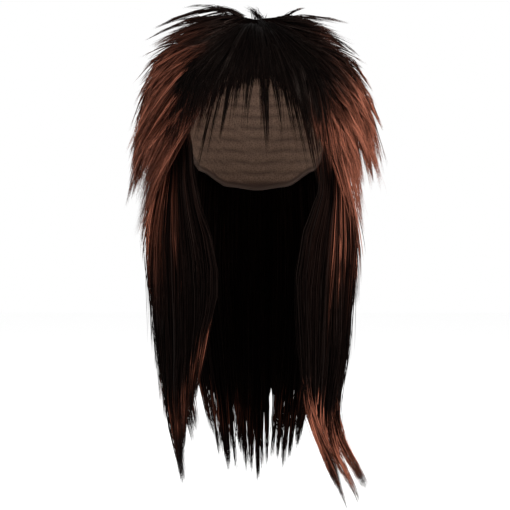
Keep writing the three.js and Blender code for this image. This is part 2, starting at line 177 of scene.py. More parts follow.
def outline_point(azimuth, reach, height):
    """Points at an azimuth and a height, a distance outside the head's widest outline."""
    az = np.radians(azimuth)
    across = np.sin(az) * (HEAD_HALF[0] + reach)
    back = -np.cos(az) * (HEAD_HALF[1] + reach)
    return np.stack(np.broadcast_arrays(across, back, height), -1).astype(float)


def round_head(table, angles, azimuth, angle):
    """Values at an azimuth and an angle, from a table of those at the front, right, back and left."""
    front, right, back, left = (np.interp(angle, angles, values) for values in table.values())
    facing = np.cos(np.radians(azimuth))
    end = np.where(facing > 0, front, back)
    side = np.where(np.sin(np.radians(azimuth)) > 0, right, left)
    return end * facing**2 + side * (1 - facing**2)


def bed_height(azimuth, angle):
    return round_head(BED_HEIGHTS, BED_ANGLES, azimuth, angle)


def from_front(azimuth):
    """Degrees away from the middle of the forehead."""
    return np.abs((np.asarray(azimuth) + 180) % 360 - 180)


def rim_angle(azimuth):
    """Angle of the cap's edge, which swings smoothly from point to point of its table."""
    turned = from_front(azimuth)
    after = np.clip(np.searchsorted(CAP_RIM_AZIMUTHS, turned), 1, len(CAP_RIM_AZIMUTHS) - 1)
    low, high = np.asarray(CAP_RIM_AZIMUTHS)[[after - 1, after]]
    first, last = np.asarray(CAP_RIM_ANGLES)[[after - 1, after]]
    return first + (last - first) * ease(low, high, turned)


def edge_angle(azimuth):
    """Angle where the layered hair ends on the left or the right of the face."""
    turned = from_front(azimuth)
    left, right = (np.interp(turned, edge["azimuths"], edge["angles"]) for edge in (EDGE_LEFT, EDGE_RIGHT))
    return np.where(np.sin(np.radians(azimuth)) < 0, left, right)


def hull_point(azimuth, angle, proud):
    """Points on the outer form of the layered hair, or proud of it."""
    reach = round_head(HULL_REACH, HULL_ANGLES, azimuth, angle)
    height = round_head(HULL_HEIGHT, HULL_ANGLES, azimuth, angle)
    place = outline_point(azimuth, reach, height)
    return place + unit(place - HULL_MIDDLE) * np.asarray(proud)[..., None]


# Meshes from arrays

class Sheaf:
    """Vertices, quads, triangles and tones of one piece, added part by part."""

    def __init__(self):
        self.vertices, self.quads, self.triangles, self.tones = [], [], [], []
        self.count = 0

    def add(self, vertices, quads, triangles, tones):
        self.vertices.append(vertices.reshape(-1, 3))
        self.quads.append(quads.reshape(-1, 4) + self.count)
        self.triangles.append(triangles.reshape(-1, 3) + self.count)
        self.tones.append(tones.reshape(-1, 3))
        self.count += len(self.vertices[-1])

    def build(self, name, material):
        """The piece as a smooth mesh, with a colour attribute for warmth, chance and shine."""
        vertices = np.concatenate(self.vertices) * MM
        quads, triangles = np.concatenate(self.quads), np.concatenate(self.triangles)
        corners = np.concatenate([quads.ravel(), triangles.ravel()])
        starts = np.concatenate([np.arange(len(quads)) * 4, quads.size + np.arange(len(triangles)) * 3])
        mesh = bpy.data.meshes.new(name)
        mesh.vertices.add(len(vertices))
        mesh.vertices.foreach_set("co", vertices.astype(np.float32).ravel())
        mesh.loops.add(len(corners))
        mesh.loops.foreach_set("vertex_index", corners.astype(np.int32))
        mesh.polygons.add(len(starts))
        mesh.polygons.foreach_set("loop_start", starts.astype(np.int32))
        mesh.polygons.foreach_set("use_smooth", np.ones(len(starts), bool))
        mesh.update(calc_edges=True)
        tones = np.concatenate(self.tones)
        colours = np.concatenate([tones, np.ones((len(tones), 1))], 1).astype(np.float32)
        mesh.attributes.new("tone", "FLOAT_COLOR", "POINT").data.foreach_set("color", colours.ravel())
        mesh.materials.append(material)
        piece = bpy.data.objects.new(name, mesh)
        bpy.context.scene.collection.objects.link(piece)
        return piece


def add_shell(sheaf, low, high, closed, tones):
    """Adds the closed body between two grids of points, by columns round the head and rows down it."""
    columns, rows = low.shape[:2]
    index = np.arange(2 * columns * rows).reshape(2, columns, rows)
    if closed:
        index = np.concatenate([index, index[:, :1]], 1)
    top, under = index

    def patch(grid):
        return np.stack([grid[:-1, :-1], grid[:-1, 1:], grid[1:, 1:], grid[1:, :-1]], -1).reshape(-1, 4)

    def wall(a, b):
        return np.stack([a[:-1], a[1:], b[1:], b[:-1]], -1)

    quads = [patch(top), patch(under)[:, ::-1]]
    quads += [wall(top[:, 0], under[:, 0]), wall(under[:, -1], top[:, -1])]
    if not closed:
        quads += [wall(under[0], top[0]), wall(top[-1], under[-1])]
    none = np.zeros((0, 3), int)
    sheaf.add(np.stack([high, low]), np.concatenate(quads), none, np.stack([tones, tones]))


def add_bed(sheaf, azimuths, angles, warmth, closed=False, weft=False):
    """Adds a dense backing of hair on the head, in dark streaks. Each column may have its own angles."""
    az, an = np.broadcast_arrays(np.asarray(azimuths)[:, None], angles)
    columns, rows = az.shape
    chance = np.repeat(rng.random((columns, 1)), rows, 1)
    tones = np.stack([np.full_like(chance, warmth), chance, np.zeros_like(chance)], -1)
    height = ROOT_HEIGHT if weft else bed_height(az, an)
    add_shell(sheaf, head_point(az, an, WEFT_FLOOR), head_point(az, an, height), closed, tones)


def spline(points, along):
    """Places and tangents (n, k, 3) at shares along smooth curves through points (n, m, 3)."""
    ends = 2 * points[:, :1] - points[:, 1:2], 2 * points[:, -1:] - points[:, -2:-1]
    knots = np.concatenate([ends[0], points, ends[1]], 1)
    spans = points.shape[1] - 1
    at = np.clip(np.floor(along * spans).astype(int), 0, spans - 1)
    t = (along * spans - at)[..., None]
    row = np.arange(len(points))[:, None]
    a, b, c, d = (knots[row, at + k] for k in range(4))
    slope, bend, twist = (c - a) / 2, a - 2.5 * b + 2 * c - d / 2, (d - a) / 2 + 1.5 * (b - c)
    place = b + t * (slope + t * (bend + t * twist))
    return place, unit(slope + t * (2 * bend + 3 * t * twist))


def bezier(points, along):
    """Places and tangents (n, k, 3) at shares along curves with control points (n, 4, 3)."""
    t = along[..., None]
    u = 1 - t
    a, b, c, d = (points[:, None, k] for k in range(4))
    place = u**3 * a + 3 * u * u * t * b + 3 * u * t * t * c + t**3 * d
    return place, unit(u * u * (b - a) + 2 * u * t * (c - b) + t * t * (d - c))


def gather(own, lock_of, lock_curves, pull):
    """Strand curves drawn towards the curve of their lock, by a share for each point."""
    pull = np.asarray(pull)[None, :, None]
    return own * (1 - pull) + lock_curves[lock_of] * pull


# A strand is a low three-sided blade with its broad side out, narrower at the root and pointed at the tip
STRAND_HEIGHT = 0.6
OUTWARD_TILT = 0.6
STRAND_TURN = 0.5
STRAND_WAVE = 0.5
STRAND_WAVES = (1, 2.5)
ROOT_WIDTH, ROOT_SWELL = 0.6, 2
SOFT_TAPER, FULL_TAPER = 3.2, 6


def add_strands(
    sheaf, curve, points, ends, half_width, rings, warmth, chance, shine=1.0, taper=SOFT_TAPER,
):
    """Adds strands along curves, each up to an end. Warmth is a function of the shares along them."""
    n = len(points)
    share = np.linspace(0, 1, rings + 1)
    along = ends[:, None] * share
    centre, tangent = curve(points, along)
    wave = np.sin(share * np.pi * draw(STRAND_WAVES, (n, 1))) * share
    centre = centre + STRAND_WAVE * wave[..., None] * rng.normal(0, 1, (n, 1, 3))
    side = unit(np.cross(tangent, unit(centre * [1, 1, 0]) + [0, 0, OUTWARD_TILT]))
    normal = np.cross(side, tangent)
    turn = rng.normal(0, STRAND_TURN, (n, 1, 1))
    across = np.cos(turn) * side + np.sin(turn) * normal
    over = np.cos(turn) * normal - np.sin(turn) * side
    width = half_width[:, None] * np.minimum(1, ROOT_WIDTH + ROOT_SWELL * share) * (1 - share**taper)
    across, over = across * width[..., None], over * width[..., None] * STRAND_HEIGHT
    corners = np.stack([centre - across - over / 2, centre + across - over / 2, centre + over], 2)
    vertices = np.concatenate([corners[:, :rings].reshape(n, -1, 3), centre[:, rings:]], 1)
    base = np.arange(n)[:, None, None] * (3 * rings + 1)
    ring = 3 * np.arange(rings - 1)[:, None]
    k = np.arange(3)
    after = (k + 1) % 3
    quads = np.stack([ring + k, ring + 3 + k, ring + 3 + after, ring + after], -1).reshape(1, -1, 4) + base
    last = 3 * (rings - 1)
    tip = np.stack([last + k, np.full(3, 3 * rings), last + after], -1)
    triangles = np.concatenate([tip, [[0, 1, 2]]])[None] + base
    tones = np.stack(np.broadcast_arrays(warmth(along), chance[:, None], shine), -1)
    tones = np.concatenate([np.repeat(tones[:, :rings], 3, 1), tones[:, rings:]], 1)
    sheaf.add(vertices, quads, triangles, tones)


# Layered hair: each strand leaves the bed, passes a shoulder and a bend at these shares of its way, with
# these shares of its turn round the head, and runs straighter to its tip at the sides than at the front
ROOT_IN_BED = 0.6
SHOULDER_AT, SHOULDER_TURN = 0.32, 0.3
BEND_AT, BEND_TURN, BEND_DEPTH = 0.68, 0.65, 0.5
STRAIGHT_AT = 0.52
STRAIGHT_AZIMUTHS = (30, 70)
LAYER_BULGE = 2


def layer_curves(azimuth, root, tip, depth, proud, turn):
    """Points of layered hair: root, shoulder and bend inside the outer form, and a tip proud of it."""
    span = tip - root
    shoulder = hull_point(azimuth + SHOULDER_TURN * turn, root + SHOULDER_AT * span, -depth)
    bend = hull_point(azimuth + BEND_TURN * turn, root + BEND_AT * span, -BEND_DEPTH * depth)
    end = hull_point(azimuth + turn, tip, proud)
    straight = (1 - STRAIGHT_AT) * shoulder + STRAIGHT_AT * end
    straight += unit(straight - HULL_MIDDLE) * LAYER_BULGE
    side = ease(*STRAIGHT_AZIMUTHS, from_front(azimuth + turn))[:, None]
    start = head_point(azimuth, root, ROOT_IN_BED * bed_height(azimuth, root))
    return np.stack([start, shoulder, bend + side * (straight - bend), end], 1)


# Warmth of layered hair. It begins between two azimuths, nearer to the front lower down the head. On the
# left it rises and falls a little down the head, and on the right it starts lower and is stronger. The near
# black over the forehead is partly painted shade, and the stronger right side is partly painted light from
# the key lamp.
FACE_MIDDLE = (-0.4, 0.4)
LEFT_AZIMUTHS, RIGHT_AZIMUTHS = (18, 48), (26, 65)
WIDER, WIDER_ANGLES, WIDER_LEFT = 13, (68, 100), 0.6
# Painted light: the right side, which faces the key lamp, is made warmer and lighter than the left
RIGHT_PAINTED_LIGHT = 1.4
LEFT_TOP = 0.06
LEFT_RISE, LEFT_RISE_ANGLES = 0.38, (26, 78)
LEFT_FALL, LEFT_FALL_ANGLES = 0.1, (95, 115)
RIGHT_RISE, RIGHT_RISE_ANGLES = 0.5, (54, 98)
LEFT_TIPS, RIGHT_TIPS, TIPS_FROM = 0.11, 0.2, 0.3


def layer_warmth_and_light(azimuth, angle, along):
    """Nearly black over the forehead and at the whorl, auburn at the sides, the back and the tips. The
    black front is partly painted shade, the stronger right side partly painted light.
    """
    turned = from_front(azimuth)
    right = ease(*FACE_MIDDLE, np.sin(np.radians(azimuth)))
    wider = WIDER * ease(*WIDER_ANGLES, angle)

    def mixed(on_left, on_right):
        return (1 - right) * on_left + right * on_right

    side = mixed(
        ease(*LEFT_AZIMUTHS, turned + WIDER_LEFT * wider),
        RIGHT_PAINTED_LIGHT * ease(*RIGHT_AZIMUTHS, turned + wider),
    )
    on_left = LEFT_TOP + LEFT_RISE * ease(*LEFT_RISE_ANGLES, angle)
    on_left -= LEFT_FALL * ease(*LEFT_FALL_ANGLES, angle)
    down = mixed(on_left, RIGHT_RISE * ease(*RIGHT_RISE_ANGLES, angle))
    return DARK + side * (down + mixed(LEFT_TIPS, RIGHT_TIPS) * ease(TIPS_FROM, 1, along))


# Hair beside the forehead is swept outwards, away from the face, by some degrees on its way
SWEEP_AZIMUTHS = (0, 8, 25, 55, 80, 110)
SWEEP_DEGREES = (0, 4, 26, 24, 10, 0)
SWEEP_LEFT, SWEEP_RIGHT = 1.2, 0.8
SWEEP_SPAN = 50

# Tips are drawn together into spikes, one in each cell of this many degrees round and down the head
SPIKE_CELL = (7, 5.5)
SPIKE_PULL = 0.85
SPIKE_LENGTH = 10
TOP_SPIKES, TOP_TO = 1.4, 56
JITTER = 0.4
JITTER_CELLS = 64
spike_jitter = rng.uniform(-JITTER, JITTER, (3, JITTER_CELLS, JITTER_CELLS))


def to_spikes(azimuth, angle, pull):
    """Azimuths and angles of tips drawn together, and how long the spike of each is, from 0 to 1."""
    row = np.floor(angle / SPIKE_CELL[1]).astype(int)
    column = np.floor(azimuth / SPIKE_CELL[0] + 0.5 * (row % 2)).astype(int)
    around, down, long = spike_jitter[:, row % JITTER_CELLS, column % JITTER_CELLS]
    to_azimuth = (column + 0.5 - 0.5 * (row % 2) + around) * SPIKE_CELL[0]
    to_angle = (row + 0.5 + down) * SPIKE_CELL[1]
    long = long / (2 * JITTER) + 0.5
    return azimuth + pull * (to_azimuth - azimuth), angle + pull * (to_angle - angle), long


# Strands of layered hair, and how deep they lie inside the outer form before their tips
LAYER_RINGS = 5
LAYER_PULL = (0, 0.3, 0.55, 0.8)
LAYER_WIDTHS = (0.26, 0.5)
LAYER_RAGGED = 0.25
LAYER_SHARED = 0.45
SIDE_AZIMUTHS = (35, 70)
FRONT_DEPTH = 7
SIDE_DEPTH = (5, 15)
QUILL_DEPTH = 2
STRAND_DEPTH = 2
ROOT_ANGLES = (0.5, 78)
LEAST_SINE = 0.12
TIP_SCATTER = 0.8
LOOSE_SHARE = 0.04
LOOSE_STRAY = 5
LOOSE_MOST = 1.3


def add_layers(sheaf, azimuth, root, tip, cell, strands, flare=1, sunk=0, swept=1):
    """Strands of layered hair, in small locks with these azimuths and angles of roots and tips.

    Cell is the spread of a lock's roots, flare how far the tips stand out, sunk how far the locks lie
    inside the outer form, and swept the share of the sweep away from the face."""
    locks = len(azimuth)
    strength = swept * np.where(azimuth < 0, SWEEP_LEFT, SWEEP_RIGHT) * (tip - root) / SWEEP_SPAN
    sweep = np.sign(azimuth) * np.interp(from_front(azimuth), SWEEP_AZIMUTHS, SWEEP_DEGREES) * strength
    side = ease(*SIDE_AZIMUTHS, from_front(azimuth + sweep))
    spike_azimuth, spike_tip, spike = to_spikes(azimuth + sweep, tip, SPIKE_PULL * min(1, flare))
    tip = tip + side * (spike_tip - tip)
    turn = sweep + side * (spike_azimuth - azimuth - sweep)
    proud = side * flare * (1 + SPIKE_LENGTH * spike) * np.where(tip < TOP_TO, TOP_SPIKES, 1) - sunk
    depth = (1 - side) * FRONT_DEPTH * rng.random(locks) ** 1.5
    depth += side * draw(SIDE_DEPTH, locks)
    depth = np.where(flare > 1, QUILL_DEPTH, depth + sunk)
    lock_curves = layer_curves(azimuth, root, tip, depth, proud, turn)
    of = np.arange(strands) % locks
    az = azimuth[of] + rng.normal(0, cell, strands) / np.maximum(np.sin(np.radians(root[of])), LEAST_SINE)
    an = np.clip(root[of] + rng.normal(0, cell, strands), *ROOT_ANGLES)
    inside = depth[of] + rng.uniform(0, STRAND_DEPTH, strands)
    own = layer_curves(az, an, tip[of], inside, proud[of], turn[of])
    curves = gather(own, of, lock_curves, LAYER_PULL)
    curves[:, 3] += rng.normal(0, TIP_SCATTER, (strands, 3))
    loose = rng.random(strands) < LOOSE_SHARE
    stray = np.clip(rng.normal(0, 1, (loose.sum(), 3)), -LOOSE_MOST, LOOSE_MOST)
    curves[loose, 3] += LOOSE_STRAY * stray * side[of][loose][:, None]
    ends = ragged(strands, LAYER_RAGGED, 1.5)
    chance = shared_chance(of, locks, LAYER_SHARED)
    span = (tip[of] - an)[:, None]
    add_strands(
        sheaf, spline, curves, ends, draw(LAYER_WIDTHS, strands), LAYER_RINGS,
        lambda along: layer_warmth_and_light(az[:, None], an[:, None] + span * along, along), chance,
    )


# Spikes that stand apart from the rest at the sides: where each comes out and where its tip is, across
# and up, and how many strands it has
SPIKES = dict(
    crown=[
        ((-35, 18), (-103, -2), 40),
        ((-40, 20), (-76, 21), 8),
        ((-55, 9), (-113, -13), 24),
        ((-47, 4), (-106, -19), 20),
        ((-71, -14), (-115, -43), 24),
        ((29, 12), (49, 20), 10),
        ((38, 11), (94, 5), 18),
        ((50, 3), (95, -25), 18),
        ((66, -7), (103, -30), 12),
        ((92, -33), (116, -67), 18),
    ],
    left=[
        ((-92, -34), (-111, -52), 18),
        ((-98, -46), (-119, -70), 20),
        ((-107, -66), (-124, -97), 20),
        ((-114, -105), (-127, -147), 18),
        ((-109, -130), (-125, -168), 22),
    ],
    right=[
        ((111, -70), (126, -103), 20),
        ((109, -112), (116, -156), 26),
    ],
)
SPIKE_BACK = 0.3
SPIKE_INSIDE = 14
SPIKE_SINK = 10
SPIKE_ABOVE = 0.5
SPIKE_RISE = 0.06
SPIKE_DEPTH = 7
SPIKE_SPREAD = [[2, 6, 1.5], [1.5, 5, 1.2], [0.8, 3, 0.8], [0.5, 1, 0.5]]
SPIKE_RAGGED = 0.3
SPIKE_WIDTHS = (0.3, 0.5)


def side_angle(height):
    """Angle down the head at a height of the outer form's side, below the rise round the whorl."""
    first = np.argmax(HULL_HEIGHT["right"])
    return np.interp(-height, -np.array(HULL_HEIGHT["right"][first:]), HULL_ANGLES[first:])


def add_spikes(sheaf, spikes):
    """Adds the spikes of a table, each from inside the hair at the side of the head."""
    out, tip, strands = (np.array(column, float) for column in zip(*spikes))
    of = np.repeat(np.arange(len(spikes)), strands.astype(int))
    n = len(of)
    depth = rng.normal(0, SPIKE_DEPTH, len(spikes))
    out, tip = (np.insert(place, 1, depth, 1) for place in (out, tip))
    way = tip - out
    long = np.linalg.norm(way, axis=1, keepdims=True)
    rise = SPIKE_RISE * long * [0, 0, 1]
    level = np.abs(way[:, :1]) / long
    back = np.sign(way[:, :1]) * np.maximum(SPIKE_BACK * level * long, SPIKE_INSIDE)
    lift = SPIKE_ABOVE * (1 - level) * long - SPIKE_SINK * level
    inside = out - back * [1, 0, 0] + lift * [0, 0, 1]
    curves = np.stack([inside, out, (out + tip) / 2 + rise, tip], 1)[of]
    curves += rng.normal(0, 1, (n, 4, 3)) * SPIKE_SPREAD
    chance = rng.random(n)
    azimuth = 90 * np.sign(tip[of, :1])
    low, high = side_angle(out[of, 2:]), side_angle(tip[of, 2:])
    add_strands(
        sheaf, spline, curves, ragged(n, SPIKE_RAGGED, 2), draw(SPIKE_WIDTHS, n), LAYER_RINGS,
        lambda along: layer_warmth_and_light(azimuth, low + (high - low) * along, along), chance, taper=FULL_TAPER,
    )


# Crown: locks all round the whorl, and quills that stand out further at the sides and the back
CROWN_BED_ANGLES = (0.4, 40)
CROWN_BED_COLUMNS, CROWN_BED_ROWS = 96, 14
CROWN_LOCKS, CROWN_TO = 560, 40
WHORL_LOCKS, WHORL_TO = 90, 13
CROWN_STRANDS = 5400
CROWN_CELL = 1.2
CROWN_QUILLS = 110
CROWN_QUILL_AZIMUTHS = (50, 310)
CROWN_QUILL_ROOTS = (6, 24)
CROWN_QUILL_TIPS = (42, 64)
QUILL_STRANDS = 9
QUILL_FLARE = 1.5
QUILL_CELL = 0.8
QUILL_SCATTER = 2
EDGE_SCATTER = 2
GOLDEN_ANGLE = 137.508
FRONT_SPAN, SIDE_SPAN = (45, 62), (24, 54)
SPAN_AZIMUTHS = (25, 65)


def spread_roots(count, to):
    """Azimuths and angles of roots spread evenly over the top of the head."""
    share = (np.arange(count) + 0.5) / count
    angle = np.degrees(np.arccos(1 - share * (1 - np.cos(np.radians(to)))))
    return (np.arange(count) * GOLDEN_ANGLE) % 360 - 180, angle


def crown_layer(material):
    """Hair from the whorl over the top of the head."""
    sheaf = Sheaf()
    columns = np.linspace(0, 360, CROWN_BED_COLUMNS, endpoint=False)
    add_bed(sheaf, columns, np.linspace(*CROWN_BED_ANGLES, CROWN_BED_ROWS), DARK, closed=True)
    roots = spread_roots(CROWN_LOCKS, CROWN_TO), spread_roots(WHORL_LOCKS, WHORL_TO)
    azimuth, root = np.concatenate(roots, 1)
    side = ease(*SPAN_AZIMUTHS, from_front(azimuth))
    chance = rng.random(len(azimuth))
    span = (1 - side) * within(FRONT_SPAN, chance) + side * within(SIDE_SPAN, chance)
    tip = np.minimum(root + span, edge_angle(azimuth) + rng.normal(0, EDGE_SCATTER, len(azimuth)))
    add_layers(sheaf, azimuth, root, tip, CROWN_CELL, CROWN_STRANDS)
    quills = CROWN_QUILLS
    azimuth = np.linspace(*CROWN_QUILL_AZIMUTHS, quills) + rng.normal(0, QUILL_SCATTER, quills)
    azimuth = (azimuth + 180) % 360 - 180
    root, tip = draw(CROWN_QUILL_ROOTS, quills), draw(CROWN_QUILL_TIPS, quills)
    add_layers(sheaf, azimuth, root, tip, QUILL_CELL, quills * QUILL_STRANDS, QUILL_FLARE)
    add_spikes(sheaf, SPIKES["crown"])
    add_tuft(sheaf)
    return sheaf.build("crown_hair", material)


TUFT_STRANDS = 36
TUFT_SHINE = 0.2
TUFT_ROOT, TUFT_ROOT_SPREAD = (3, -2, 5), (4, 4, 0.5)
TUFT_TIP, TUFT_TIP_SPREAD = (-7, -3, 19), (3.5, 3.5, 2)
TUFT_RISE = (0, 0, 5)
TUFT_WIDTHS = (0.3, 0.45)


def add_tuft(sheaf):
    """Short hairs that stand up at the whorl and lean to one side."""
    n = TUFT_STRANDS
    root = TUFT_ROOT + rng.normal(0, 1, (n, 3)) * TUFT_ROOT_SPREAD
    tip = TUFT_TIP + rng.normal(0, 1, (n, 3)) * TUFT_TIP_SPREAD
    curves = np.stack([root, root + TUFT_RISE, 0.5 * (root + tip) + TUFT_RISE, tip], 1)
    add_strands(
        sheaf, bezier, curves, np.ones(n), draw(TUFT_WIDTHS, n), LAYER_RINGS,
        lambda along: np.full_like(along, DARK), rng.random(n), TUFT_SHINE,
    )


# Shag: a bed that rises in an arch over the face, locks of many lengths, and quills among them
SHAG_BED_COLUMNS, SHAG_BED_ROWS = 60, 10
BED_TOP = 44
BED_LOWEST, BED_ARCH_AZIMUTHS = (58, 76), (40, 60)
SHAG_LOCKS = 280
SHAG_STRANDS = 2500
SHAG_ROOTS = (42, 74)
SHAG_SHORTEST = 18
SHAG_LEAST_ROOM = 4
SHAG_CELL = 1.4
SHAG_QUILLS = 50
SHAG_QUILL_TIPS = (62, 108)
SHAG_QUILL_SPAN = (30, 45)
GOLDEN_SHARE = 0.618034

# Longer and flatter layer under the shag, closer together beside the face, its longest locks sunk deepest
UNDER_LOCKS = 210
UNDER_STRANDS = 1260
UNDER_ROOTS = (54, 76)
UNDER_TIPS = (96, 138)
UNDER_SUNK, UNDER_LOOSE = (4, 14), 5
UNDER_SUNK_SHARES, UNDER_SUNK_AZIMUTHS = (0.2, 0.6), (40, 85)
UNDER_FLARE = 0.1

# Locks that hang by the cheek on the right of the face, less swept than the rest
CHEEK_LOCKS = 34
CHEEK_STRANDS = 300
CHEEK_AZIMUTHS = (25, 50)
CHEEK_ROOTS = (46, 62)
CHEEK_SHORTEST = 8
CHEEK_SWEPT = 0.2


def add_cheek(sheaf):
    azimuth = np.linspace(*CHEEK_AZIMUTHS, CHEEK_LOCKS)
    root = draw(CHEEK_ROOTS, CHEEK_LOCKS)
    tip = edge_angle(azimuth) - CHEEK_SHORTEST * rng.random(CHEEK_LOCKS)
    add_layers(sheaf, azimuth, root, tip, CROWN_CELL, CHEEK_STRANDS, swept=CHEEK_SWEPT)


def shag(name, azimuths, material, spikes=(), cheek=False):
    """Layered hair round one side of the head, below the crown, over a longer and flatter layer."""
    sheaf = Sheaf()
    start, end = azimuths
    columns = np.linspace(start, end, SHAG_BED_COLUMNS)
    lowest = within(BED_LOWEST, ease(*BED_ARCH_AZIMUTHS, from_front(columns)))
    add_bed(sheaf, columns, np.linspace(BED_TOP, lowest, SHAG_BED_ROWS).T, BED_WARMTH)

    def spread(locks, angles):
        i = np.arange(locks)
        return start + (end - start) * (i + 0.5) / locks, within(angles, (i * GOLDEN_SHARE) % 1)

    azimuth, root = spread(SHAG_LOCKS, SHAG_ROOTS)
    first = root + SHAG_SHORTEST
    room = np.maximum(edge_angle(azimuth) - first, SHAG_LEAST_ROOM)
    tip = first + room * rng.random(SHAG_LOCKS) ** 0.7 + rng.normal(0, EDGE_SCATTER, SHAG_LOCKS)
    add_layers(sheaf, azimuth, root, tip, SHAG_CELL, SHAG_STRANDS)
    azimuth, tip = spread(SHAG_QUILLS, SHAG_QUILL_TIPS)
    tip = np.minimum(tip, edge_angle(azimuth))
    root = np.clip(tip - draw(SHAG_QUILL_SPAN, SHAG_QUILLS), *SHAG_ROOTS)
    add_layers(sheaf, azimuth, root, tip, QUILL_CELL, SHAG_QUILLS * QUILL_STRANDS, QUILL_FLARE)
    if cheek:
        add_cheek(sheaf)
    if spikes:
        add_spikes(sheaf, spikes)
    azimuth, root = spread(UNDER_LOCKS, UNDER_ROOTS)
    near = start if from_front(start) < from_front(end) else end
    if from_front(near) < 90:
        away = azimuth - near
        azimuth = near + away * np.abs(away / (end - start)) ** 0.5
    share = rng.random(UNDER_LOCKS)
    deep = ease(*UNDER_SUNK_SHARES, share) * ease(*UNDER_SUNK_AZIMUTHS, from_front(azimuth))
    sunk = within(UNDER_SUNK, deep) + rng.uniform(0, UNDER_LOOSE, UNDER_LOCKS)
    tip = within(UNDER_TIPS, share)
    add_layers(sheaf, azimuth, root, tip, SHAG_CELL, UNDER_STRANDS, UNDER_FLARE, sunk)
    return sheaf.build(name, material)


# Long hair: room that it leaves for the cheeks, widest at one level
CHEEK_ROOM = 17
CHEEK_INNER, CHEEK_OUTER = 42, 80
CHEEK_Z, CHEEK_TALL = -158, 54


def beside_face(points, along):
    """As a spline, but kept out to the side of the cheek."""
    place, tangent = spline(points, along)
    x, _, z = np.moveaxis(place, -1, 0)
    inside = np.clip((CHEEK_OUTER - np.abs(x)) / (CHEEK_OUTER - CHEEK_INNER), 0, 1)
    place[..., 0] += np.sign(x) * CHEEK_ROOM * inside * np.exp(-((z - CHEEK_Z) / CHEEK_TALL) ** 2)
    return place, tangent


def row_curves(rows, root_angle):
    """Points that each long lock of a table runs through."""
    curves = []
    for azimuth, *passing, tip in rows:
        root = head_point(azimuth, root_angle, ROOT_HEIGHT)
        drop = tip[2] - root[2]
        points = [(*place, root[2] + share * drop) for place, share in zip(passing, PASSING_AT)]
        curves.append([root, *points, tip])
    return np.array(curves, float)


def between(curves, place):
    """Curves at places along a row of them, carried on past its ends."""
    at = np.clip(np.floor(place).astype(int), 0, len(curves) - 2)
    share = (place - at)[:, None, None]
    return curves[at] * (1 - share) + curves[at + 1] * share


SHEET_COLUMNS, SHEET_ROWS = 60, 10
SHEET_FROM, SHEET_ENDS = 0.02, (0.66, 0.76)
SHEET_SHARE = 0.8
SHEET_THICK = 1.2


def add_sheet(sheaf, curve, whole, overhang):
    """Adds the dark heart of a curtain: a thin sheet between its strands, ragged at its lower edge."""
    past = SHEET_SHARE * overhang
    places = np.linspace(-past, len(whole) - 1 + past, SHEET_COLUMNS)
    along = draw(SHEET_ENDS, (SHEET_COLUMNS, 1)) * np.linspace(SHEET_FROM, 1, SHEET_ROWS)
    centre = curve(between(whole, places), along)[0]
    half = 0.5 * SHEET_THICK * unit(centre * [1, 1, 0])
    dull = np.zeros_like(along)
    tones = np.stack([dull + DARK, dull + rng.random((SHEET_COLUMNS, 1)), dull], -1)
    add_shell(sheaf, centre - half, centre + half, False, tones)


# Curtains: their wefts, their locks with some points of the row to gather at, and short locks over their
# outside. Tables of five are for the five points that a long lock runs through.
WEFT_COLUMNS, WEFT_ROWS = 40, 4
BACK_FROM = 130
SIDE_OVERHANG, BACK_OVERHANG = 0.4, 1.0
SIDE_POINTS, BACK_POINTS = 1, 0.5
LENGTH_STRANDS = 1450
LENGTH_RINGS = 11
LENGTH_SHINE = 0.3
LENGTH_WIDTHS = (0.3, 0.58)
LENGTH_SHARED = 0.3
LOCKS_PER_ROW = 6
LOCK_SPREAD = 0.6
POINT_PULL = (0, 0.03, 0.06, 0.12, 0.75)
LOCK_PULL = (0, 0.15, 0.35, 0.55, 0.8)
LOCK_STRAY = (0, 1.5, 2, 2.5, 1.8)
LOCK_STRAY_UP = 0.4
STRAND_STRAY = [[0, 0, 0], [1, 1, 0], [1.5, 1.5, 0], [1.5, 1.5, 0], [1, 1, 2]]
LENGTH_THICK, DEPTH_SPREAD = 7, 0.4
DEPTH_ALONG = (0.1, 1, 0.8, 0.5, 0.2)
OUTER_LOCKS = 18
OUTER_STRANDS = 14
OUTER_FROM = 0.45
OUTER_ENDS = (0.27, 0.62)
OUTER_PROUD = 2

# Part of the outer hair is cut in layers, and the rest reaches a little past the tips of the solids
# The back curtain counts as less outer, which also dims its streaks as painted shade for its shaded inside
OUTER_SHARES, OUTER_BACK_SHADED = (0.12, 0.42), 0.6
LAYERED_SHARE = 0.4
LAYER_ENDS, LAYER_END_SPREAD = (0.44, 0.5, 0.68, 0.74, 0.82), 0.03
LAYER_TURN_OUT = 7
END_REACH, END_RAGGED = 1.056, 0.1
STRAND_RAGGED = 0.06

# Warmth of long hair: streaks that fade down it, a lit stretch near the top of some locks and a glow
# before the tips, the first two stronger on the outside of the curtain, and deeper strands darker as
# painted shade
OUTSIDE_WARMTH_AND_SHADE, OUTSIDE_DEPTHS = (0.15, 1.3), (-0.3, 0.5)
STREAK_MOST, STREAK_INNER, STREAK_LAYERED = 0.26, 0.3, 0.08
STREAK_FADE, STREAK_FADES = 0.8, (0.2, 0.5)
LIT_SHARE, LIT_RANGE = 0.65, (0.3, 1)
UPPER_WARMTH = 0.7
UPPER_ENDS, UPPER_SPAN = (0.12, 0.36), (0.08, 0.28)
UPPER_FRAY = 0.06
UPPER_RISE, UPPER_FALL = 0.05, 0.06
GLOW_LOCKS = (0.6, 1.2)
GLOW_LEAST, GLOW_SPREAD = 0.25, 1.6
GLOW_RISES, GLOW_FADES, GLOW_FADE = (0.72, 0.85), (0.86, 0.97), 0.95
GLOW_FRAY = 0.22


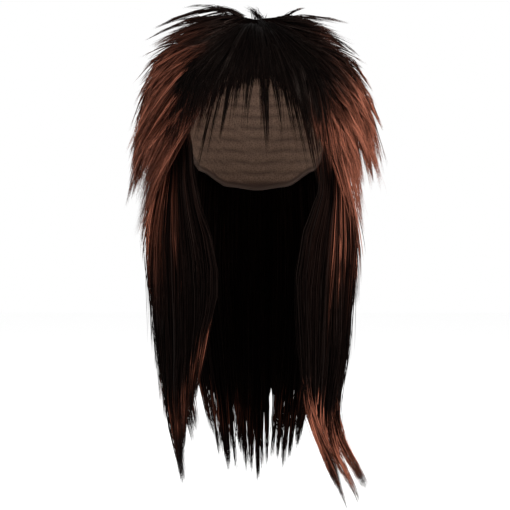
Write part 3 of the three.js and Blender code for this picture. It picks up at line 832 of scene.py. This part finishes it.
def curtain_curves(whole, centres, lock_of, points):
    """Curves of a curtain's strands, gathered in locks and the locks at points of their row."""
    locks, n = len(centres), len(lock_of)
    point_of = np.argmin(np.abs(centres[:, None] - points), 1)
    lock_curves = gather(between(whole, centres), point_of, between(whole, points), POINT_PULL)
    stray = np.asarray(LOCK_STRAY)[None, :, None] * [1, 1, LOCK_STRAY_UP]
    lock_curves += rng.normal(0, 1, (locks, 1, 3)) * stray
    place = centres[lock_of] + rng.normal(0, LOCK_SPREAD / LOCKS_PER_ROW, n)
    curves = gather(between(whole, place), lock_of, lock_curves, LOCK_PULL)
    return curves + rng.normal(0, 1, (n, 5, 3)) * STRAND_STRAY


def tip_glow(along):
    """Warmth near the ends of long hair, which fades again at the very tips."""
    return ease(*GLOW_RISES, along) * (1 - GLOW_FADE * ease(*GLOW_FADES, along))


def curtain_look(lock_of, outer, layered, depth, tip_warmth):
    """Half width, warmth and chance of a curtain's strands."""
    locks, n = len(outer), len(lock_of)
    # Painted shade: strands that lie deeper in the curtain get less of their warmth and stay darker
    outside = within(OUTSIDE_WARMTH_AND_SHADE, ease(*OUTSIDE_DEPTHS, depth))[:, None]
    streak = rng.uniform(0, STREAK_MOST, locks) * (STREAK_INNER + (1 - STREAK_INNER) * outer)
    streak = (streak + STREAK_LAYERED * layered)[lock_of, None]
    chance = shared_chance(lock_of, locks, LENGTH_SHARED)
    half_width = draw(LENGTH_WIDTHS, n)
    glow = draw(GLOW_LOCKS, locks)[lock_of] * (GLOW_LEAST + GLOW_SPREAD * rng.random(n) ** 2)
    lit = (outer * (rng.random(locks) < LIT_SHARE))[lock_of, None] * draw(LIT_RANGE, (n, 1))
    warm_to = (draw(UPPER_ENDS, locks)[lock_of] + rng.normal(0, UPPER_FRAY, n))[:, None]
    warm_from = warm_to - draw(UPPER_SPAN, n)[:, None]
    fray = GLOW_FRAY * (chance - 0.5)

    def warmth(along):
        upper = UPPER_WARMTH * lit * ease(warm_from - UPPER_RISE, warm_from + UPPER_RISE, along)
        upper *= ease(warm_to + UPPER_FALL, warm_to - UPPER_FALL, along)
        lower = streak * (1 - STREAK_FADE * ease(*STREAK_FADES, along))
        tips = tip_warmth * glow[:, None] * tip_glow(along + fray[:, None])
        return DARK + outside * (lower + upper) + tips

    return half_width, warmth, chance


def length(name, material, azimuths, angles, tip_warmth, rows):
    """A curtain of long hair: an even sheet at the weft that gathers into pointed locks."""
    sheaf = Sheaf()
    columns = np.linspace(*azimuths, WEFT_COLUMNS)
    add_bed(sheaf, columns, np.linspace(*angles, WEFT_ROWS), BED_WARMTH, weft=True)
    whole = row_curves(rows, np.mean(angles))
    last = len(rows) - 1
    first_azimuth, last_azimuth = rows[0][0], rows[-1][0]
    faces_front = abs(last_azimuth) < BACK_FROM
    curve, overhang, step = (
        (beside_face, SIDE_OVERHANG, SIDE_POINTS) if faces_front else (spline, BACK_OVERHANG, BACK_POINTS)
    )
    add_sheet(sheaf, curve, whole if first_azimuth < last_azimuth else whole[::-1], overhang)

    inner = LOCKS_PER_ROW * len(rows)
    centres = (np.arange(inner) + 0.5) / inner * (last + 2 * overhang) - overhang
    outer_centres = last * rng.uniform(OUTER_FROM if faces_front else 0, 1, OUTER_LOCKS)
    centres = np.concatenate([centres, outer_centres])
    outer_locks = np.repeat(inner + np.arange(OUTER_LOCKS), OUTER_STRANDS)
    lock_of = np.concatenate([np.arange(LENGTH_STRANDS) % inner, outer_locks])
    locks, n = len(centres), len(lock_of)
    short = np.arange(locks) >= inner
    curves = curtain_curves(whole, centres, lock_of, np.arange(0, last + 0.5 * step, step))
    depth = rng.normal(0, DEPTH_SPREAD, n)
    outward = unit(curves[:, 1] * [1, 1, 0])[:, None]
    curves += outward * (LENGTH_THICK * depth[:, None] * DEPTH_ALONG)[..., None]

    # Some of the outer locks are cut in layers, and these turn out a little at their tips
    # Painted shade: the back curtain's streaks are dimmed all over
    outer = np.full(locks, OUTER_BACK_SHADED)
    if faces_front:
        outer = ease(*OUTER_SHARES, np.clip(centres / last, 0, 1))
    layered = short | (rng.random(locks) < LAYERED_SHARE * outer)
    layer_end = rng.choice(LAYER_ENDS, locks) + rng.normal(0, LAYER_END_SPREAD, locks)
    lock_end = np.where(layered, layer_end, END_REACH - END_RAGGED * rng.random(locks) ** 2)
    lock_end = np.where(short, draw(OUTER_ENDS, locks), lock_end)
    curves[:, 1:] += outward * (OUTER_PROUD * short)[lock_of, None, None]
    ends = lock_end[lock_of] * ragged(n, STRAND_RAGGED, 2)
    turn_out = np.where(layered, LAYER_TURN_OUT, 0)[lock_of, None]
    bend = turn_out * (np.linspace(0, 1, 5) / lock_end[lock_of, None]) ** 3
    curves += outward * bend[..., None]
    half_width, warmth, chance = curtain_look(lock_of, outer, layered, depth, tip_warmth)
    add_strands(
        sheaf, curve, curves, ends, half_width, LENGTH_RINGS, warmth, chance, LENGTH_SHINE, FULL_TAPER,
    )
    return sheaf.build(name, material)


# Fringe
FRINGE_BED_AZIMUTHS, FRINGE_BED_ANGLES = (-38, 38), (41, 54)
FRINGE_BED_COLUMNS, FRINGE_BED_ROWS = 50, 6
FRINGE_RINGS = 6
FRINGE_RAGGED = 0.25
FRINGE_CHANCE = 0.6
FRINGE_TIPS_FROM = 0.5

# Dense short hair fanned out over the forehead, and loose hair along both sides of the arch over the face
COVER = dict(roots=(36, 52), longer=0, edge_spread=2.5, depth=(1, 7), proud=(-4, 0))
COVER_STRANDS, COVER_WIDTHS, COVER_WARMTH = 1000, (0.3, 0.55), 0.1
COVER_AZIMUTHS, COVER_SPREAD = (-40, 40), 17
COVER_TURN, COVER_TURN_SPREAD = 0.3, 2
ARCH = dict(roots=(40, 54), longer=3, edge_spread=4, depth=(1, 6), proud=(-5, 1))
ARCH_STRANDS, ARCH_WIDTHS, ARCH_WARMTH = 420, (0.2, 0.4), 0.4
ARCH_AZIMUTHS, ARCH_TURN = (20, 50), (6, 14)

# Thin spaced locks, and single hairs between them. Each kind of hair has its own warmth at the tips.
WISP_STRANDS = (14, 10, 26, 12, 22, 28, 18, 14, 12, 14)
WISP_SLANT = 0.6
WISP_WIDTHS, WISP_WARMTH = (0.3, 0.5), 0.1
WISP_LONGER = 8
WISP_ROOT_SPREAD, WISP_TIP_SPREAD = 1.8, 0.35
WISP_HEIGHT_SPREAD, WISP_REACH_SPREAD = 4, 1
SINGLES, SINGLE_WIDTHS, SINGLE_WARMTH = 90, (0.14, 0.24), 0.3
SINGLE_AZIMUTHS, SINGLE_HEIGHTS = (-36, 36), (-150, -85)
SINGLE_FAN, SINGLE_TIP_SPREAD, SINGLE_REACH_SPREAD = 0.8, 2, 1.5


def brushed(kind, toward):
    """Roots, tips, depths and heights of layered hair brushed towards places along the lower edge."""
    n = len(toward)
    root = draw(kind["roots"], n)
    tip = edge_angle(toward) + rng.normal(kind["longer"], kind["edge_spread"], n)
    return root, tip, draw(kind["depth"], n), draw(kind["proud"], n)


def fringe_cover():
    azimuth = np.clip(rng.normal(0, COVER_SPREAD, COVER_STRANDS), *COVER_AZIMUTHS)
    form = brushed(COVER, (1 + COVER_TURN) * azimuth)
    turn = COVER_TURN * azimuth + rng.normal(0, COVER_TURN_SPREAD, COVER_STRANDS)
    return layer_curves(azimuth, *form, turn)


def fringe_curves(azimuth, tip, height, reach):
    """Control points of hair from the fringe's root over its crest and down to tips at these azimuths."""
    return np.stack([
        head_point(azimuth, FRINGE_ROOT, ROOT_HEIGHT),
        head_point(azimuth, FRINGE_CREST, FRINGE_LIFT),
        outline_point(0.5 * (azimuth + tip), reach, height + FRINGE_STRAIGHT),
        outline_point(tip, reach, height),
    ], 1)


def fringe_wisps():
    lock_of = np.repeat(np.arange(len(FRINGE_TIPS)), WISP_STRANDS)
    tips = FRINGE_TIPS[lock_of]
    n = len(lock_of)
    stray = rng.normal(0, 1, n)
    height = FRINGE_HEIGHTS[lock_of] - WISP_LONGER + rng.normal(0, WISP_HEIGHT_SPREAD, n)
    reach = FRINGE_REACH + rng.normal(0, WISP_REACH_SPREAD, n)
    azimuth, tip = WISP_SLANT * tips + WISP_ROOT_SPREAD * stray, tips + WISP_TIP_SPREAD * stray
    return fringe_curves(azimuth, tip, height, reach)


def fringe_singles():
    n = SINGLES
    azimuth = draw(SINGLE_AZIMUTHS, n)
    tip = azimuth / WISP_SLANT * SINGLE_FAN + rng.normal(0, SINGLE_TIP_SPREAD, n)
    height = draw(SINGLE_HEIGHTS, n)
    reach = FRINGE_REACH + rng.normal(0, SINGLE_REACH_SPREAD, n)
    return fringe_curves(azimuth, tip, height, reach)


def fringe_arch():
    n = ARCH_STRANDS
    azimuth = rng.choice([-1, 1], n) * draw(ARCH_AZIMUTHS, n)
    turn = np.sign(azimuth) * draw(ARCH_TURN, n)
    return layer_curves(azimuth, *brushed(ARCH, azimuth + turn), turn)


def fringe(material):
    """A dense short front, thin spaced locks down the forehead, single hairs and a soft arch."""
    sheaf = Sheaf()
    columns = np.linspace(*FRINGE_BED_AZIMUTHS, FRINGE_BED_COLUMNS)
    add_bed(sheaf, columns, np.linspace(*FRINGE_BED_ANGLES, FRINGE_BED_ROWS), 0, weft=True)
    kinds = [
        (spline, fringe_cover(), COVER_WIDTHS, COVER_WARMTH),
        (bezier, fringe_wisps(), WISP_WIDTHS, WISP_WARMTH),
        (bezier, fringe_singles(), SINGLE_WIDTHS, SINGLE_WARMTH),
        (spline, fringe_arch(), ARCH_WIDTHS, ARCH_WARMTH),
    ]
    for curve, points, widths, tip_warmth in kinds:
        n = len(points)
        add_strands(
            sheaf, curve, points, ragged(n, FRINGE_RAGGED, 1.5), draw(widths, n), FRINGE_RINGS,
            lambda along: DARK + tip_warmth * ease(FRINGE_TIPS_FROM, 1, along),
            FRINGE_CHANCE * rng.random(n),
        )
    return sheaf.build("fringe_hair", material)


# Cap: rows of weft below a plain top, and a hem along its edge
CAP_COLUMNS, CAP_ROWS = 120, 60
CAP_FIRST = 0.01
WEFT_PITCH = 6.5
WEFT_GAP = 0.3
WEFT_ANGLES = (8, 20)
WEFT_PROUD = 0.7
HEM_SHARES = (0.965, 0.985)
HEM_INSIDE, HEM_OUTSIDE = 0.9, 0.5


def cap(material):
    """Thin net cap with sewn weft rows on its inside and a rolled edge."""
    azimuths = np.linspace(0, 360, CAP_COLUMNS, endpoint=False)
    az, share = np.meshgrid(azimuths, np.linspace(CAP_FIRST, 1, CAP_ROWS), indexing="ij")
    an = rim_angle(az) * share
    ridge = np.clip(np.cos(2 * np.pi * an / WEFT_PITCH) - WEFT_GAP, 0, 1) * ease(*WEFT_ANGLES, an)
    hem = ease(*HEM_SHARES, share)
    tones = np.stack([np.maximum(ridge, hem), az / 360, an / 180], -1)
    sheaf = Sheaf()
    low = head_point(az, an, -WEFT_PROUD * ridge - HEM_INSIDE * hem)
    add_shell(sheaf, low, head_point(az, an, CAP_WALL + HEM_OUTSIDE * hem), True, tones)
    return sheaf.build("cap_net", material)


# Materials

class Paint:
    """A procedural material and the nodes that it is made of."""

    def __init__(self, name):
        self.material = bpy.data.materials.new(name)
        self.material.use_nodes = True
        self.nodes = self.material.node_tree.nodes
        self.links = self.material.node_tree.links
        self.shader = self.nodes["Principled BSDF"]

    def node(self, kind, inputs=None, **settings):
        """A new node, with its settings and with its inputs set to values or linked to sockets."""
        node = self.nodes.new(kind)
        for key, value in settings.items():
            setattr(node, key, value)
        for key, value in (inputs or {}).items():
            self.feed(node.inputs[key], value)
        return node

    def feed(self, socket, value):
        if isinstance(value, bpy.types.NodeSocket):
            self.links.new(value, socket)
        else:
            socket.default_value = value

    def math(self, operation, *values):
        return self.node("ShaderNodeMath", dict(enumerate(values)), operation=operation).outputs[0]

    def ramp(self, value, stops):
        node = self.node("ShaderNodeValToRGB", {0: value})
        elements = node.color_ramp.elements
        while len(elements) < len(stops):
            elements.new(0.5)
        for element, (place, colour) in zip(elements, stops):
            element.position = place
            element.color = (*colour, 1)
        return node.outputs[0]

    def noise(self, place, scale, detail):
        inputs = {"Vector": place, "Scale": scale, "Detail": detail}
        return self.node("ShaderNodeTexNoise", inputs).outputs["Fac"]

    def bump(self, height, strength, distance, invert=False):
        inputs = {"Height": height, "Strength": strength, "Distance": distance * MM}
        return self.node("ShaderNodeBump", inputs, invert=invert).outputs[0]

    def place(self):
        return self.node("ShaderNodeTexCoord").outputs["Object"]

    def tone(self):
        """Warmth, chance and shine, from the mesh."""
        tone = self.node("ShaderNodeAttribute", attribute_name="tone")
        return self.node("ShaderNodeSeparateColor", {0: tone.outputs["Color"]}).outputs

    def finish(self, **inputs):
        for key, value in inputs.items():
            self.feed(self.shader.inputs[key.replace("_", " ")], value)
        return self.material


# Hair colours by warmth, which chance and patches of noise spread from strand to strand
HAIR_COLOURS = [
    (0.0, (0.001, 0.0008, 0.0008)),
    (0.2, (0.008, 0.0034, 0.0025)),
    (0.55, (0.07, 0.021, 0.012)),
    (1.0, (0.3, 0.1, 0.06)),
]
CHANCE_SPREAD, PATCH_SPREAD = 1.8, 0.3
DOWN_STRETCH = (1, 1, 0.2)
PATCH_SCALE, PATCH_DETAIL = 90, 3
FIBRE_SCALE, FIBRE_DETAIL = 1400, 2
FIBRE_STRENGTH, FIBRE_RELIEF = 0.2, 0.3
ROUGHEST, ROUGH_SPREAD = 0.55, -0.2
GLOSS_LEAST, GLOSS_SPREAD, GLOSS_POWER = 0.02, 0.3, 4
GLINT_COLOUR = (1, 0.78, 0.66, 1)


def hair_paint(name):
    """Fibre from black-brown to auburn with each strand's warmth, with a few glossy strands."""
    paint = Paint(name)
    warmth, chance, shine = paint.tone()
    stretched = paint.node("ShaderNodeMapping", {"Vector": paint.place(), "Scale": DOWN_STRETCH}).outputs[0]
    patches = paint.math("MULTIPLY", paint.noise(stretched, PATCH_SCALE, PATCH_DETAIL), PATCH_SPREAD)
    spread = paint.math("MULTIPLY_ADD", chance, CHANCE_SPREAD, patches)
    few = paint.math("POWER", chance, GLOSS_POWER)
    gloss = paint.math("MULTIPLY_ADD", few, GLOSS_SPREAD, GLOSS_LEAST)
    return paint.finish(
        Base_Color=paint.ramp(paint.math("MULTIPLY", warmth, spread), HAIR_COLOURS),
        Roughness=paint.math("MULTIPLY_ADD", chance, ROUGH_SPREAD, ROUGHEST),
        Normal=paint.bump(paint.noise(stretched, FIBRE_SCALE, FIBRE_DETAIL), FIBRE_STRENGTH, FIBRE_RELIEF),
        Specular_IOR_Level=paint.math("MULTIPLY", shine, gloss),
        Specular_Tint=GLINT_COLOUR,
    )


NET_SCALE = 420
NET_COLOURS = [(0.0, (0.30, 0.19, 0.13)), (0.2, (0.17, 0.10, 0.068))]
NET_STRENGTH, NET_RELIEF = 0.5, 0.6
NET_ROUGHNESS = 0.85
WEFT_COLOUR = (0.07, 0.04, 0.028, 1)


def cap_paint():
    """Brown elastic net with darker sewn wefts."""
    paint = Paint("wig_cap_net")
    weft = paint.tone()[0]
    inputs = {"Vector": paint.place(), "Scale": NET_SCALE}
    cells = paint.node("ShaderNodeTexVoronoi", inputs, feature="DISTANCE_TO_EDGE").outputs["Distance"]
    mix = paint.node("ShaderNodeMix", data_type="RGBA")
    paint.feed(mix.inputs["Factor"], weft)
    paint.feed(mix.inputs[6], paint.ramp(cells, NET_COLOURS))
    paint.feed(mix.inputs[7], WEFT_COLOUR)
    relief = paint.bump(cells, NET_STRENGTH, NET_RELIEF, True)
    return paint.finish(Base_Color=mix.outputs[2], Roughness=NET_ROUGHNESS, Normal=relief)


crown_hair = hair_paint("wig_crown_hair")
shag_hair = hair_paint("wig_shag_hair")
length_hair = hair_paint("wig_length_hair")

# The pieces, each in place of its solid
PIECES = [
    (cap(cap_paint()), "cap", "cap_net"),
    (crown_layer(crown_hair), "crown_layer", "crown_hair"),
    (fringe(crown_hair), "fringe", "crown_hair"),
    (shag("shag_left_hair", SHAG_LEFT, shag_hair, SPIKES["left"]), "shag_left", "shag_hair"),
    (shag("shag_right_hair", SHAG_RIGHT, shag_hair, SPIKES["right"], True), "shag_right", "shag_hair"),
    (shag("shag_back_hair", SHAG_BACK, shag_hair), "shag_back", "shag_hair"),
    (length("length_left_hair", length_hair, **CURTAIN_LEFT), "length_left", "length_hair"),
    (length("length_right_hair", length_hair, **CURTAIN_RIGHT), "length_right", "length_hair"),
    (length("length_back_hair", length_hair, **CURTAIN_BACK), "length_back", "length_hair"),
]
for piece, node, slot in PIECES:
    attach(piece, "root")
    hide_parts(node)

# Pale floor just under the lowest tips
FLOOR_Z = -494
FLOOR_HALF = 8000
FLOOR_COLOUR = (0.9, 0.9, 0.9, 1)
FLOOR_ROUGHNESS = 0.8
FLOOR_GLOW = 0.66
WHITE = (1, 1, 1, 1)


def floor_paint():
    """Pale floor, lit from within like the surround so that it stays light."""
    return Paint("floor_pale").finish(
        Base_Color=FLOOR_COLOUR, Roughness=FLOOR_ROUGHNESS,
        Emission_Color=WHITE, Emission_Strength=FLOOR_GLOW,
    )


def pale_floor():
    mesh = bpy.data.meshes.new("floor")
    half = FLOOR_HALF * MM
    corners = [(-half, -half, 0), (half, -half, 0), (half, half, 0), (-half, half, 0)]
    mesh.from_pydata(corners, [], [(0, 1, 2, 3)])
    mesh.materials.append(floor_paint())
    floor = bpy.data.objects.new("floor", mesh)
    floor.location.z = FLOOR_Z * MM
    bpy.context.scene.collection.objects.link(floor)
    return floor


pale_floor()

# Soft studio light: a white surround that gives a little light, and two broad lamps
AMBIENT = 0.35
LAMP_AIM = (0, 0, -150)
LAMPS = [
    dict(name="key", place=(1300, -1700, 600), size=1000, watts=80),
    dict(name="fill", place=(-1400, -1500, 300), size=1200, watts=30),
]


def studio_world():
    world = bpy.data.worlds.new("studio")
    world.use_nodes = True
    nodes, links = world.node_tree.nodes, world.node_tree.links
    seen = nodes["Background"]
    lighting = nodes.new("ShaderNodeBackground")
    for background, strength in ((seen, 1.0), (lighting, AMBIENT)):
        background.inputs["Color"].default_value = WHITE
        background.inputs["Strength"].default_value = strength
    mix = nodes.new("ShaderNodeMixShader")
    links.new(nodes.new("ShaderNodeLightPath").outputs["Is Camera Ray"], mix.inputs[0])
    links.new(lighting.outputs[0], mix.inputs[1])
    links.new(seen.outputs[0], mix.inputs[2])
    links.new(mix.outputs[0], nodes["World Output"].inputs["Surface"])
    return world


def area_light(name, place, size, watts):
    light = bpy.data.lights.new(name, "AREA")
    light.shape = "DISK"
    light.size = size * MM
    light.energy = watts
    lamp = bpy.data.objects.new(name, light)
    lamp.location = Vector(place) * MM
    lamp.rotation_euler = (Vector(LAMP_AIM) - Vector(place)).to_track_quat("-Z", "Y").to_euler()
    bpy.context.scene.collection.objects.link(lamp)


bpy.context.scene.world = studio_world()
bpy.context.scene.view_settings.view_transform = "Standard"
for lamp in LAMPS:
    area_light(**lamp)

# Camera at the front, level with the middle of the wig; one pixel is one millimetre at the wig
CAMERA_DISTANCE = 2200
CAMERA_X, CAMERA_Z = -2, -227
FRAME_MM = 510
camera_data = bpy.data.cameras.new("camera")
camera_data.lens = camera_data.sensor_width * CAMERA_DISTANCE / FRAME_MM
camera = bpy.data.objects.new("camera", camera_data)
camera.location = (CAMERA_X * MM, -CAMERA_DISTANCE * MM, CAMERA_Z * MM)
camera.rotation_euler = (np.pi / 2, 0, 0)
bpy.context.scene.collection.objects.link(camera)
bpy.context.scene.camera = camera
